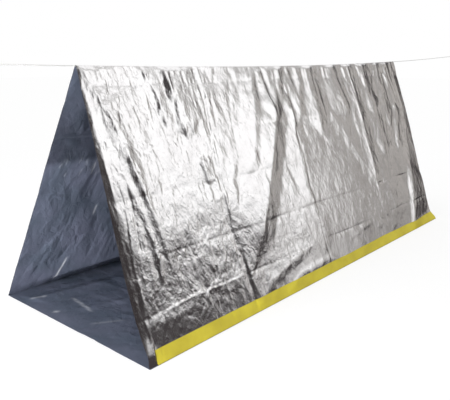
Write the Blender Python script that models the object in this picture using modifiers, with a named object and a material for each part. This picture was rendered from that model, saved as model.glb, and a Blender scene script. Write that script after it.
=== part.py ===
"""Emergency tube tent: one tube of metallised film hung over a tight line, with a taped bottom seam.

Metres, +Z up. The origin is the middle of the floor, where it lies on the ground. +Y runs from the open
front end to the open rear end, and the taped seam is the crease at +X.
"""
import math

import bmesh
import bpy
import numpy as np
from mathutils import Vector

# Film tube
TUBE_LENGTH = 2.400
FLOOR_WIDTH = 0.900
REAR_NARROWING = 0.030
FILM = 0.0012
RIDGE_HEIGHT = 0.940
RIDGE_OFFSET = 0.075
RIDGE_SET_BACK = 0.045
SKIRT_DEPTH = 0.030

# Line through the ridge
LINE_DIAMETER = 0.004
LINE_ARC_RADIUS = 48.0
LINE_LOW_POINT = -0.450
FRONT_LINE_LENGTH = 0.285
REAR_LINE_LENGTH = 1.000
LINE_POINT_SPACING = 0.060
LINE_BEVEL_STEPS = 2

# Tied end loops of the line
EYE_RADIUS = 0.016
EYE_LENGTH = 0.042
KNOT_TURNS = 4
KNOT_LEAD = 0.010
KNOT_CLEARANCE = 0.0007
TAIL_LENGTH = 0.022
TAIL_SHARES = (0.35, 0.70, 1.00)
TAIL_SPLAY = 0.5
TAIL_LIFT = 0.9
STANDING_POINTS = 8
POINTS_PER_TURN = 24
LOOP_BEVEL_STEPS = 1
GAP_STEPS = 10

# Seam tape
TAPE = 0.0006
TAPE_UP_WALL = 0.048
TAPE_UNDER_FLOOR = 0.022
TAPE_FRONT_INSET = 0.036
TAPE_REAR_INSET = 0.002
TAPE_RAMP = 0.012

# Fits between touching pieces
SEAT_GAP = 0.0003
LINE_GAP = 0.0004

# Divisions of the film's grids
WALL_COLUMNS = 28
WALL_ROWS = 20
FLOOR_COLUMNS = 20
FLOOR_ROWS = 10
RIDGE_COLUMNS = 30
CROWN_STEPS = 6

# Main folds of the walls: their crests' points on the wall as (metres from the front end, metres up from
# the crease), then the widths of the front and rear flanks and the height, outwards.
RIGHT_WALL_FOLDS = (
    (((0.01, 1.00), (0.07, 0.87), (0.12, 0.70), (0.17, 0.46), (0.19, 0.30)), 0.075, 0.120, 0.0060),
    (((-0.10, 0.16), (0.70, 0.16)), 0.080, 0.150, 0.0080),
    (((1.07, 0.93), (0.96, 0.69), (0.85, 0.49), (0.77, 0.35), (0.65, 0.19), (0.60, 0.10)),
     0.240, 0.105, 0.0150),
    (((0.94, 0.98), (0.85, 0.77), (0.77, 0.59), (0.67, 0.50)), 0.100, 0.080, 0.0050),
    (((1.35, 1.02), (1.36, 0.76), (1.42, 0.50), (1.44, 0.33)), 0.080, 0.125, 0.0060),
    (((1.59, 1.02), (1.69, 0.76)), 0.080, 0.080, 0.0060),
    (((1.99, 0.78), (2.00, 0.56)), 0.080, 0.080, 0.0055),
    (((2.25, 0.39), (2.17, 0.22), (2.08, 0.00)), 0.080, 0.300, 0.0085),
)
LEFT_WALL_FOLDS = (
    (((0.20, 1.00), (0.28, 0.62), (0.25, 0.25)), 0.080, 0.080, 0.008),
    (((0.62, 1.00), (0.76, 0.62), (0.98, 0.28)), 0.120, 0.080, 0.014),
    (((0.98, 1.00), (0.96, 0.56), (0.80, 0.20)), 0.080, 0.110, 0.010),
    (((1.34, 1.00), (1.28, 0.58), (1.34, 0.20)), 0.100, 0.080, 0.012),
    (((1.72, 1.00), (1.86, 0.60), (1.90, 0.25)), 0.080, 0.100, 0.012),
    (((2.16, 1.00), (2.06, 0.58), (2.10, 0.22)), 0.080, 0.080, 0.012),
)
FOLD_FADE = 0.080
FOLD_TAIL_SHARE = 0.15

# The right wall's film is bent back behind this line, and along its front edge
REAR_BEND = ((2.385, 1.02), (2.35, 0.80), (2.32, 0.60), (2.24, 0.37), (2.175, 0.22), (2.08, 0.00))
REAR_BEND_SLOPE = 0.10
REAR_BEND_DEPTH = 0.024
FRONT_BEND_HEIGHTS = (0.00, 0.05, 0.14, 0.30, 0.56, 0.94)
FRONT_BEND_WIDTHS = (0.000, 0.036, 0.066, 0.080, 0.036, 0.010)
FRONT_BEND_SLOPE = 0.21

# The left wall sags in over its crease: how far, how high up it turns back, and where it ends
TUCK_DEPTH = 0.055
TUCK_TURN = 0.105
TUCK_TOP = 0.400
TUCK_RUN_IN = 0.500
TUCK_LEAST_SHARE = 0.30

# Main folds of the floor: points as (metres from the front end, metres from the left crease)
FLOOR_FOLDS = (
    (((0.02, 0.12), (0.45, 0.20), (1.00, 0.16)), 0.080, 0.080, 0.008),
    (((0.50, 0.66), (1.10, 0.73), (1.60, 0.64)), 0.090, 0.090, 0.007),
    (((1.50, 0.20), (1.90, 0.26), (2.34, 0.18)), 0.090, 0.090, 0.008),
)

FRONT_Y = -TUBE_LENGTH / 2
REAR_Y = TUBE_LENGTH / 2
RIDGE_FRONT_Y = FRONT_Y + RIDGE_SET_BACK
LINE_RADIUS = LINE_DIAMETER / 2
ARC_CENTRE_Z = RIDGE_HEIGHT + LINE_ARC_RADIUS
CROWN_RADIUS = LINE_RADIUS + LINE_GAP + FILM / 2
LINE_BELOW_CROWN = FILM + LINE_GAP + LINE_RADIUS
FLOOR_LIFT_ON_TAPE = TAPE + SEAT_GAP


def collection(name):
    """A collection in the scene, for the parts."""
    made = bpy.data.collections.new(name)
    bpy.context.scene.collection.children.link(made)
    return made


def material(name, colour, roughness, metallic=0.0):
    """A Principled BSDF material."""
    made = bpy.data.materials.new(name)
    made.use_nodes = True
    shader = made.node_tree.nodes["Principled BSDF"]
    shader.inputs["Base Color"].default_value = (*colour, 1.0)
    shader.inputs["Roughness"].default_value = roughness
    shader.inputs["Metallic"].default_value = metallic
    return made


def half_width(y):
    """Half the floor's width at y. The rear end is drawn in a little."""
    along = (y - FRONT_Y) / TUBE_LENGTH
    return FLOOR_WIDTH / 2 - REAR_NARROWING / 2 * along


def on_arc(y, below_crown=0.0):
    """Height on the line's shallow arc, or on an arc that runs below the film's crown."""
    radius = LINE_ARC_RADIUS + below_crown
    return ARC_CENTRE_Z - math.sqrt(radius**2 - (y - LINE_LOW_POINT) ** 2)


def tape_corner(y):
    """The tape's bend in the crease, on its middle surface, as (x, z)."""
    return half_width(y) - TAPE, TAPE / 2


def side_line(side, y):
    """One side of the tube at y: its slope from the vertical and the point where it leaves the crown.

    The side is the tangent from its bottom crease to the film's round crown over the line.
    """
    middle_z = on_arc(y, LINE_BELOW_CROWN)
    radius = CROWN_RADIUS
    if side > 0:
        x, z = tape_corner(y)
        radius += FILM / 2 + SEAT_GAP + TAPE / 2
    else:
        x, z = half_width(y) - FILM, FILM / 2
    across = abs(side * x - RIDGE_OFFSET)
    down = middle_z - z
    slope = math.acos(radius / math.hypot(across, down)) - math.atan2(down, across)
    leaves = Vector((RIDGE_OFFSET + side * CROWN_RADIUS * math.cos(slope), y,
                     middle_z + CROWN_RADIUS * math.sin(slope)))
    return slope, leaves


def down_side(side, y, distance):
    """A point on the film's middle surface, that far down the side from the crown."""
    slope, leaves = side_line(side, y)
    return leaves + distance * Vector((side * math.sin(slope), 0, -math.cos(slope)))


def foot_of_wall(side, y):
    """The lowest point of a wall's middle surface: its rim clears the floor's upper face."""
    slope, leaves = side_line(side, y)
    floor_top = FILM + (FLOOR_LIFT_ON_TAPE if side > 0 else 0.0)
    height = floor_top + SEAT_GAP + FILM / 2 * math.sin(slope)
    return down_side(side, y, (leaves.z - height) / math.cos(slope))


def beside(path, a, b):
    """Signed distance from a polyline, positive behind it, and the share of the polyline walked so far."""
    lengths = [math.dist(p, q) for p, q in zip(path, path[1:])]
    nearest, signed, share_walked, walked = math.inf, 0.0, 0.0, 0.0
    for (pa, pb), (qa, qb), length in zip(path, path[1:], lengths):
        share = ((a - pa) * (qa - pa) + (b - pb) * (qb - pb)) / length**2
        share = min(max(share, 0.0), 1.0)
        off_a, off_b = a - pa - share * (qa - pa), b - pb - share * (qb - pb)
        off = math.hypot(off_a, off_b)
        if off < nearest:
            nearest = off
            signed = math.copysign(off, off_a * (pb - qb) + off_b * (qa - pa))
            share_walked = (walked + share * length) / sum(lengths)
        walked += length
    return signed, share_walked


def folds_at(folds, a, b):
    """How far the film stands off its plane at (a, b): the folds' tent-shaped profiles, added up."""
    total = 0.0
    for path, front, rear, height in folds:
        off, share = beside(path, a, b)
        flank = 1.0 + off / front if off < 0 else 1.0 - off / rear
        total += height * max(0.0, flank) * smooth((1.0 - share) / FOLD_TAIL_SHARE)
    return total


def right_bends(a, b):
    """How far the right wall's film is bent back at its front edge and in its rear corner."""
    front = FRONT_BEND_SLOPE * max(0.0, np.interp(b, FRONT_BEND_HEIGHTS, FRONT_BEND_WIDTHS) - a)
    behind, _ = beside(REAR_BEND, a, b)
    return front + min(REAR_BEND_SLOPE * max(0.0, behind), REAR_BEND_DEPTH)


def left_tuck(a, b):
    """How far the left wall's film sags in above its crease. The sag grows from both ends of the tube."""
    ends = smooth(a / TUCK_RUN_IN) * smooth((TUBE_LENGTH - a) / TUCK_RUN_IN)
    turn = TUCK_TURN * (TUCK_LEAST_SHARE + (1 - TUCK_LEAST_SHARE) * ends)
    share = b / turn if b < turn else max(0.0, 1.0 - (b - turn) / (TUCK_TOP - turn))
    return TUCK_DEPTH * share * ends


def smooth(value):
    """Smooth step from 0 to 1."""
    value = min(max(value, 0.0), 1.0)
    return value * value * (3 - 2 * value)


def film(name, columns, rows, place, thickness, finish, parts):
    """A sheet of film: a flat grid, moved by place(column share, row index), with Solidify's thickness."""
    mesh = bpy.data.meshes.new(name)
    grid = bmesh.new()
    bmesh.ops.create_grid(grid, x_segments=columns, y_segments=rows, size=1.0)
    for vertex in grid.verts:
        along = (vertex.co.x + 1) / 2
        across = (vertex.co.y + 1) / 2
        vertex.co = place(along, across)
    bmesh.ops.recalc_face_normals(grid, faces=grid.faces)
    grid.to_mesh(mesh)
    grid.free()
    mesh.materials.append(finish)
    sheet = bpy.data.objects.new(name, mesh)
    parts.objects.link(sheet)
    wall = sheet.modifiers.new("film thickness", "SOLIDIFY")
    wall.thickness = thickness
    wall.offset = 0.0
    wall.use_even_offset = True
    return sheet


def side_wall(name, side, folds, finish, parts):
    """One wall, from just above the floor to the ridge fold's skirt, standing off its plane in its folds."""
    slope, _ = side_line(side, 0.0)
    outward = Vector((side * math.cos(slope), 0, math.sin(slope)))

    def place(along, across):
        foot = foot_of_wall(side, FRONT_Y + TUBE_LENGTH * along)
        top_y = RIDGE_FRONT_Y + (REAR_Y - RIDGE_FRONT_Y) * along
        top = down_side(side, top_y, SKIRT_DEPTH + SEAT_GAP)
        slant = (top - foot).length
        up = slant * across
        from_front = TUBE_LENGTH * along
        stand_off = folds_at(folds, from_front, up)
        if side > 0:
            stand_off -= right_bends(from_front, up)
        stand_off *= smooth((up - TAPE_UP_WALL) / FOLD_FADE) * smooth((slant - up) / FOLD_FADE)
        if side < 0:
            stand_off -= left_tuck(from_front, up)
        return foot.lerp(top, across) + outward * stand_off

    return film(name, WALL_COLUMNS, WALL_ROWS, place, FILM, finish, parts)


def floor_sheet(finish, parts):
    """The floor: flat on the ground, with its main folds, and lifted where it lies on the tape's flap."""

    def edges(y):
        corner, _ = tape_corner(y)
        slope, _ = side_line(1, y)
        rise = FLOOR_LIFT_ON_TAPE + FILM - TAPE / 2
        right = corner - rise * math.tan(slope) - TAPE / 2 / math.cos(slope) - SEAT_GAP
        return -half_width(y), right, half_width(y) - TAPE_UNDER_FLOOR - SEAT_GAP

    def place(along, across):
        y = FRONT_Y + TUBE_LENGTH * along
        left, right, flap = edges(y)
        row = round(across * FLOOR_ROWS)
        stops = FLOOR_ROWS - 2
        if row <= stops:
            x = left + (flap - TAPE_RAMP - left) * row / stops
        else:
            x = (flap, right)[row - stops - 1]
        from_left = x - left
        clear = smooth(from_left / FOLD_FADE) * smooth((flap - TAPE_RAMP - x) / FOLD_FADE)
        lift = folds_at(FLOOR_FOLDS, TUBE_LENGTH * along, from_left) * clear
        if row > stops:
            lift = FLOOR_LIFT_ON_TAPE
        return Vector((x, y, FILM / 2 + lift))

    return film("floor_sheet", FLOOR_COLUMNS, FLOOR_ROWS, place, FILM, finish, parts)


def ridge_fold(finish, parts):
    """The film's fold over the line: a round crown and a short skirt on each side, along the line's arc."""
    sections = CROWN_STEPS + 2

    def place(along, across):
        y = RIDGE_FRONT_Y + (REAR_Y - RIDGE_FRONT_Y) * along
        step = round(across * sections)
        if step == 0:
            return down_side(-1, y, SKIRT_DEPTH)
        if step == sections:
            return down_side(1, y, SKIRT_DEPTH)
        left, _ = side_line(-1, y)
        right, _ = side_line(1, y)
        turn = math.pi - left + (right - (math.pi - left)) * (step - 1) / CROWN_STEPS
        centre_z = on_arc(y, LINE_BELOW_CROWN)
        return Vector((RIDGE_OFFSET + CROWN_RADIUS * math.cos(turn), y,
                       centre_z + CROWN_RADIUS * math.sin(turn)))

    return film("ridge_fold", RIDGE_COLUMNS, sections, place, FILM, finish, parts)


def seam_tape(finish, parts):
    """The tape round the seam's crease: a flap up the wall's outer face and one under the floor."""
    bend_rows = 2

    def place(along, across):
        start, end = FRONT_Y + TAPE_FRONT_INSET, REAR_Y - TAPE_REAR_INSET
        y = start + (end - start) * along
        corner_x, corner_z = tape_corner(y)
        corner = Vector((corner_x, y, corner_z))
        slope, _ = side_line(1, y)
        up_wall = Vector((-math.sin(slope), 0, math.cos(slope)))
        row = round(across * bend_rows)
        if row == 0:
            return corner - Vector((TAPE_UNDER_FLOOR - TAPE, 0, 0))
        return corner if row == 1 else corner + up_wall * TAPE_UP_WALL

    return film("seam_tape", RIDGE_COLUMNS, bend_rows, place, TAPE, finish, parts)


def tube(name, points, bevel_resolution, finish, parts):
    """A length of line: a curve through the points with closed ends."""
    curve = bpy.data.curves.new(name, "CURVE")
    curve.dimensions = "3D"
    curve.bevel_depth = LINE_RADIUS
    curve.bevel_resolution = bevel_resolution
    curve.use_fill_caps = True
    spline = curve.splines.new("POLY")
    spline.points.add(len(points) - 1)
    for place, point in zip(spline.points, points):
        place.co = (*point, 1.0)
    curve.materials.append(finish)
    made = bpy.data.objects.new(name, curve)
    parts.objects.link(made)
    return made


def line_run(start_y, end_y):
    """Points of the line's arc between two stations."""
    count = max(2, round(abs(end_y - start_y) / LINE_POINT_SPACING) + 1)
    stations = np.linspace(start_y, end_y, count)
    return [Vector((RIDGE_OFFSET, y, on_arc(y, LINE_BELOW_CROWN))) for y in stations]


def loop_path():
    """The tied loop, as (out along the line, sideways, up): through the knot, round the eye and back,
    then wound round the standing part, with a short tail."""
    beside_line = LINE_DIAMETER + KNOT_CLEARANCE
    knot_end = KNOT_LEAD + KNOT_TURNS * beside_line + TAIL_LENGTH
    out = [(x, 0.0, 0.0) for x in np.linspace(0.0, knot_end, STANDING_POINTS)]

    eye_x, eye_y = knot_end + EYE_LENGTH, beside_line / 2
    open_angle = math.acos(EYE_RADIUS / EYE_LENGTH)
    for angle in np.linspace(-math.pi + open_angle, math.pi - open_angle, POINTS_PER_TURN):
        out.append((eye_x + EYE_RADIUS * math.cos(angle), eye_y + EYE_RADIUS * math.sin(angle), 0.0))

    out.append((knot_end + LINE_DIAMETER, beside_line, 0.0))
    for step in range(KNOT_TURNS * POINTS_PER_TURN + 1):
        turns = step / POINTS_PER_TURN
        angle = 2 * math.pi * turns
        out.append((knot_end - beside_line * turns, beside_line * math.cos(angle),
                    beside_line * math.sin(angle)))
    knot_start = knot_end - KNOT_TURNS * beside_line
    for share in TAIL_SHARES:
        out.append((knot_start - TAIL_LENGTH * share, beside_line * (1 + TAIL_SPLAY * share),
                    beside_line * TAIL_LIFT * math.sin(math.pi / 2 * share)))
    return out


def least_gap(points):
    """Least clear distance between stretches of one tube that aren't neighbours along it."""
    cloud = np.array(points)
    fine = np.array([p + (q - p) * step / GAP_STEPS
                     for p, q in zip(cloud, cloud[1:]) for step in range(GAP_STEPS)])
    walked = np.concatenate([[0.0], np.cumsum(np.linalg.norm(np.diff(fine, axis=0), axis=1))])
    apart = np.linalg.norm(fine[:, None] - fine[None], axis=2)
    neighbours = abs(walked[:, None] - walked[None]) < math.pi * LINE_DIAMETER
    apart[neighbours] = math.inf
    return apart.min() - LINE_DIAMETER


def end_loop(name, start_y, outwards, finish, parts):
    """A tied loop on one end of the line, following on from its free stretch."""
    start = Vector((RIDGE_OFFSET, start_y, on_arc(start_y, LINE_BELOW_CROWN)))
    ahead = start_y + outwards * LINE_POINT_SPACING
    along = (Vector((RIDGE_OFFSET, ahead, on_arc(ahead, LINE_BELOW_CROWN))) - start).normalized()
    sideways = Vector((1, 0, 0))
    up = sideways.cross(along).normalized()
    path = loop_path()
    print(f"{name}: least gap to itself {least_gap(path) * 1000:.2f} mm")
    points = [start + along * a + sideways * b + up * c for a, b, c in path]
    return tube(name, points, LOOP_BEVEL_STEPS, finish, parts)


def build():
    for existing in list(bpy.data.objects):
        bpy.data.objects.remove(existing, do_unlink=True)
    parts = collection("emergency_tent")
    silver = material("silver_film", (0.72, 0.72, 0.73), 0.22, 1.0)
    silver_left = material("silver_film_left", (0.70, 0.70, 0.71), 0.24, 1.0)
    silver_ridge = material("silver_film_ridge", (0.74, 0.74, 0.75), 0.24, 1.0)
    slate = material("slate_inner_film", (0.095, 0.105, 0.135), 0.38)
    yellow = material("yellow_tape", (0.68, 0.60, 0.04), 0.42)
    white = material("white_line", (0.80, 0.80, 0.79), 0.70)

    floor_sheet(slate, parts)
    side_wall("left_wall", -1, LEFT_WALL_FOLDS, silver_left, parts)
    side_wall("right_wall", 1, RIGHT_WALL_FOLDS, silver, parts)
    ridge_fold(silver_ridge, parts)
    seam_tape(yellow, parts)

    front_end = RIDGE_FRONT_Y - SEAT_GAP - FRONT_LINE_LENGTH
    rear_end = REAR_Y + SEAT_GAP + REAR_LINE_LENGTH
    tube("ridge_line", line_run(RIDGE_FRONT_Y, REAR_Y), LINE_BEVEL_STEPS, white, parts)
    tube("front_line", line_run(RIDGE_FRONT_Y - SEAT_GAP, front_end), LINE_BEVEL_STEPS, white, parts)
    tube("rear_line", line_run(REAR_Y + SEAT_GAP, rear_end), LINE_BEVEL_STEPS, white, parts)
    end_loop("front_loop", front_end - SEAT_GAP, -1, white, parts)
    end_loop("rear_loop", rear_end + SEAT_GAP, 1, white, parts)


build()
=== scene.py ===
"""Emergency tube tent: how it looks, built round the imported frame."""
import math
import random

import bpy
import numpy as np
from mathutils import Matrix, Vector


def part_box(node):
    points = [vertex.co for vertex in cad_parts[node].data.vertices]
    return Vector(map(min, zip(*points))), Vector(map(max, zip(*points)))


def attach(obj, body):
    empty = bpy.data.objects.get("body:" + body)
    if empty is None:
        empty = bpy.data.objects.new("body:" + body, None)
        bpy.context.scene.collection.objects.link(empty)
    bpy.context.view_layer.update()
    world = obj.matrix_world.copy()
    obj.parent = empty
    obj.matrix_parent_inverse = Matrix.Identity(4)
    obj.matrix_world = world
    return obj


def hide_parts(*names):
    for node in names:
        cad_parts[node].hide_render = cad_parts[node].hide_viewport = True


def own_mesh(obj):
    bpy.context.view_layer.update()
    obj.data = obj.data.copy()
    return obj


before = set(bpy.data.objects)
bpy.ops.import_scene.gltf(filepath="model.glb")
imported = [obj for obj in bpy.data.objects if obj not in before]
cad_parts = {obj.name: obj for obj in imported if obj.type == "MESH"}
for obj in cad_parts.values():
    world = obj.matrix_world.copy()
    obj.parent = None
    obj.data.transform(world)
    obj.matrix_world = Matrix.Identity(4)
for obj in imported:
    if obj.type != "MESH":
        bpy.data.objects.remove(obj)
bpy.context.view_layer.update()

# Camera
# It stands low and to the right of the open front end, at the photograph's place, and looks a little
# down along the taped side.
CAMERA_DOWN = 13.562
CAMERA_TURN = 41.349


def placed(name, data):
    """A new object of the scene."""
    made = bpy.data.objects.new(name, data)
    bpy.context.scene.collection.objects.link(made)
    return made


camera_data = bpy.data.cameras.new("camera")
camera_data.lens = 44.68
camera_data.sensor_width = 36.0
camera = placed("camera", camera_data)
camera.location = (1.6866, -2.2438, 0.9436)
camera.rotation_euler = (math.radians(90.0 - CAMERA_DOWN), 0.0, math.radians(CAMERA_TURN))
bpy.context.scene.camera = camera

# Line
# One length of thin white cord, three strands laid together. It runs tight through the ridge of the
# film and ends at each side in an eye tied back on itself with a wound knot.
LINE_DIAMETER = 0.004
LINE_STRANDS = 3
LAY_LENGTH = 0.016
STRAND_STEP = 0.0016
STRAND_SIDES = 7
STRAND_RADIUS = LINE_DIAMETER / 2 / (1 + 2 / math.sqrt(3))
ARC_RADIUS = 48.0
ARC_LOW_POINT = -0.450
CROWN_AT_LOW_POINT = 0.940
FILM = 0.0012
LINE_GAP = 0.0004
SEAT_GAP = 0.0003
LINE_BELOW_CROWN = FILM + LINE_GAP + LINE_DIAMETER / 2
LINE_POINT_SPACING = 0.060
EYE_RADIUS = 0.016
EYE_LENGTH = 0.042
KNOT_TURNS = 4
KNOT_LEAD = 0.010
KNOT_CLEARANCE = 0.0007
TAIL_LENGTH = 0.022
# Places along the tail, and how far it stands aside and up, as shares of the knot's pitch
TAIL_SHARES = (0.35, 0.7, 1.0)
TAIL_SPLAY = 0.5
TAIL_LIFT = 0.9
POINTS_PER_TURN = 24
STANDING_POINTS = 8
CORD_WHITE = (0.70, 0.70, 0.69)
CORD_MARKED = (0.50, 0.50, 0.49)
CORD_MARKS_SCALE = 90.0
CORD_FIBRES_SCALE = 2500.0

ridge_line_low, ridge_line_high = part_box("ridge_line")
RIDGE_X = (ridge_line_low.x + ridge_line_high.x) / 2
RIDGE_FRONT_Y = ridge_line_low.y
RIDGE_REAR_Y = ridge_line_high.y
front_line_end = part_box("front_line")[0].y
rear_line_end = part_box("rear_line")[1].y


def line_z(y):
    """Height of the line's middle, on a shallow arc under the film's crown."""
    radius = ARC_RADIUS + LINE_BELOW_CROWN
    return CROWN_AT_LOW_POINT + ARC_RADIUS - np.sqrt(radius**2 - (y - ARC_LOW_POINT) ** 2)


def on_line(y):
    """A point of the line's middle."""
    return Vector((RIDGE_X, y, line_z(y)))


def line_run(start_y, end_y):
    """Points of the line between two stations."""
    count = max(2, round(abs(end_y - start_y) / LINE_POINT_SPACING) + 1)
    return [on_line(y) for y in np.linspace(start_y, end_y, count)]


def loop_run(start_y, outwards):
    """Points of a tied eye: out through the knot, round the eye, back, round the standing part, a tail."""
    pitch = LINE_DIAMETER + KNOT_CLEARANCE
    knot_end = KNOT_LEAD + KNOT_TURNS * pitch + TAIL_LENGTH
    path = [(x, 0.0, 0.0) for x in np.linspace(0.0, knot_end, STANDING_POINTS)]
    eye_x = knot_end + EYE_LENGTH
    open_angle = math.acos(EYE_RADIUS / EYE_LENGTH)
    for angle in np.linspace(open_angle - math.pi, math.pi - open_angle, POINTS_PER_TURN):
        path.append((eye_x + EYE_RADIUS * math.cos(angle), pitch / 2 + EYE_RADIUS * math.sin(angle), 0.0))
    path.append((knot_end + LINE_DIAMETER, pitch, 0.0))
    for step in range(KNOT_TURNS * POINTS_PER_TURN + 1):
        turn = step / POINTS_PER_TURN
        angle = 2 * math.pi * turn
        path.append((knot_end - pitch * turn, pitch * math.cos(angle), pitch * math.sin(angle)))
    knot_start = knot_end - KNOT_TURNS * pitch
    for share in TAIL_SHARES:
        path.append((knot_start - TAIL_LENGTH * share, pitch * (1 + TAIL_SPLAY * share),
                     pitch * TAIL_LIFT * math.sin(math.pi / 2 * share)))

    start = on_line(start_y)
    along = (on_line(start_y + outwards * LINE_POINT_SPACING) - start).normalized()
    up = Vector((1, 0, 0)).cross(along).normalized()
    return [start + along * out + Vector((aside, 0, 0)) + up * lift for out, aside, lift in path]


def fill(tree, node, inputs):
    """Sets a node's inputs, by name or by place, to values, nodes' outputs or nodes' first outputs."""
    for key, value in inputs.items():
        if isinstance(value, bpy.types.Node):
            value = value.outputs[0]
        if isinstance(value, bpy.types.NodeSocket):
            tree.links.new(value, node.inputs[key])
        else:
            node.inputs[key].default_value = value


def add(tree, kind, inputs=None, **settings):
    """A new node of a tree, with its settings and its inputs."""
    node = tree.nodes.new(kind)
    for name, value in settings.items():
        setattr(node, name, value)
    fill(tree, node, inputs or {})
    return node


def maths(tree, operation, first, second):
    """One step of arithmetic."""
    return add(tree, "ShaderNodeMath", {0: first, 1: second}, operation=operation)


def noise(tree, place, scale, detail=2.0):
    """A soft random pattern over a place."""
    return add(tree, "ShaderNodeTexNoise", {"Vector": place, "Scale": scale, "Detail": detail})


def blend(tree, share, under, over, how="MIX"):
    """The colour between two. Each is red, green and blue, or another node's output.

    The Mix node's colours go by their places, because its numbers have the same names.
    """
    under, over = ((*colour, 1.0) if isinstance(colour, tuple) else colour for colour in (under, over))
    inputs = {"Factor": share, 6: under, 7: over}
    return add(tree, "ShaderNodeMix", inputs, data_type="RGBA", blend_type=how).outputs[2]


def raised(tree, height, strength, distance, over=None):
    """The normal of a surface whose pattern stands out, on top of another such normal if there is one."""
    inputs = {"Height": height, "Strength": strength, "Distance": distance}
    if over is not None:
        inputs["Normal"] = over
    return add(tree, "ShaderNodeBump", inputs)


def principled(name, colour, roughness, metallic=0.0, specular=0.5):
    """A material with a Principled BSDF, and its node tree and shader."""
    made = bpy.data.materials.new(name)
    made.use_nodes = True
    tree = made.node_tree
    shader = tree.nodes["Principled BSDF"]
    fill(tree, shader, {"Base Color": (*colour, 1.0), "Roughness": roughness, "Metallic": metallic,
                        "Specular IOR Level": specular})
    return made, tree, shader


def cord_material():
    """White synthetic cord: fine fibres along each strand and faint grey handling marks."""
    made, tree, shader = principled("white_cord", CORD_WHITE, roughness=0.62)
    place = add(tree, "ShaderNodeTexCoord").outputs["Object"]
    marks, fibres = noise(tree, place, CORD_MARKS_SCALE), noise(tree, place, CORD_FIBRES_SCALE)
    fill(tree, shader, {"Base Color": blend(tree, marks, CORD_MARKED, CORD_WHITE),
                        "Normal": raised(tree, fibres, strength=0.35, distance=0.0002)})
    return made


def new_tree(name, geometry, sizes, counts):
    """An empty Geometry Nodes tree with named inputs, and those inputs."""
    tree = bpy.data.node_groups.new(name, "GeometryNodeTree")
    for kind, labels in (("Geometry", (geometry,)), ("Float", sizes), ("Int", counts)):
        for label in labels:
            tree.interface.new_socket(label, in_out="INPUT", socket_type="NodeSocket" + kind)
    tree.interface.new_socket("Made", in_out="OUTPUT", socket_type="NodeSocketGeometry")
    return tree, add(tree, "NodeGroupInput").outputs


def laid_cord_tree(finish):
    """Strands wound round a curve: each is the curve itself, moved off its middle by a steady turn."""
    tree, given = new_tree("laid_cord", "Path", ("Strand Radius", "Offset", "Lay Length", "Step"),
                           ("Strands", "Sides"))
    even = add(tree, "GeometryNodeResampleCurve", {"Curve": given["Path"], "Length": given["Step"]},
               mode="LENGTH")
    copies = add(tree, "GeometryNodeDuplicateElements", {"Geometry": even, "Amount": given["Strands"]},
                 domain="SPLINE")
    along = add(tree, "GeometryNodeSplineParameter").outputs["Length"]
    turns = maths(tree, "ADD", maths(tree, "DIVIDE", along, given["Lay Length"]),
                  maths(tree, "DIVIDE", copies.outputs["Duplicate Index"], given["Strands"]))
    spin = add(tree, "ShaderNodeVectorRotate", {
        "Vector": add(tree, "GeometryNodeInputNormal"), "Axis": add(tree, "GeometryNodeInputTangent"),
        "Angle": maths(tree, "MULTIPLY", turns, 2 * math.pi)}, rotation_type="AXIS_ANGLE")
    aside = add(tree, "ShaderNodeVectorMath", {"Vector": spin, "Scale": given["Offset"]}, operation="SCALE")
    wind = add(tree, "GeometryNodeSetPosition", {"Geometry": copies, "Offset": aside})
    ring = add(tree, "GeometryNodeCurvePrimitiveCircle",
               {"Resolution": given["Sides"], "Radius": given["Strand Radius"]})
    strand = add(tree, "GeometryNodeCurveToMesh", {"Curve": wind, "Profile Curve": ring, "Fill Caps": True})
    shade = add(tree, "GeometryNodeSetShadeSmooth", {"Geometry": strand})
    real = add(tree, "GeometryNodeRealizeInstances", {"Geometry": shade})
    painted = add(tree, "GeometryNodeSetMaterial", {"Geometry": real, "Material": finish})
    add(tree, "NodeGroupOutput", {"Made": painted})
    return tree


def set_inputs(modifier, **values):
    """Sets a Geometry Nodes modifier's inputs by their names, through the sockets' identifiers."""
    for item in modifier.node_group.interface.items_tree:
        key = item.name.replace(" ", "_").lower()
        if item.item_type == "SOCKET" and item.in_out == "INPUT" and key in values:
            modifier[item.identifier] = values[key]


def as_mesh(source, name):
    """The evaluated object as a plain mesh object, in place of the source."""
    bpy.context.view_layer.update()
    evaluated = source.evaluated_get(bpy.context.evaluated_depsgraph_get())
    mesh = bpy.data.meshes.new_from_object(evaluated)
    bpy.data.objects.remove(source)
    mesh.name = name
    return placed(name, mesh)


def laid_cord(name, points, tree, finish):
    """A stretch of the cord along its points."""
    curve = bpy.data.curves.new(name, "CURVE")
    curve.dimensions = "3D"
    curve.twist_mode = "MINIMUM"
    spline = curve.splines.new("POLY")
    spline.points.add(len(points) - 1)
    for place, point in zip(spline.points, points):
        place.co = (*point, 1.0)
    source = placed(name + "_path", curve)
    winding = source.modifiers.new("laid strands", "NODES")
    winding.node_group = tree
    set_inputs(winding, strands=LINE_STRANDS, strand_radius=STRAND_RADIUS,
               offset=LINE_DIAMETER / 2 - STRAND_RADIUS, lay_length=LAY_LENGTH, step=STRAND_STEP,
               sides=STRAND_SIDES)
    made = as_mesh(source, name)
    made.data.materials.clear()
    made.data.materials.append(finish)
    return made


def fit(piece, body, node):
    """The piece rides a body and stands in for a node."""
    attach(piece, body)
    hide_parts(node)


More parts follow.
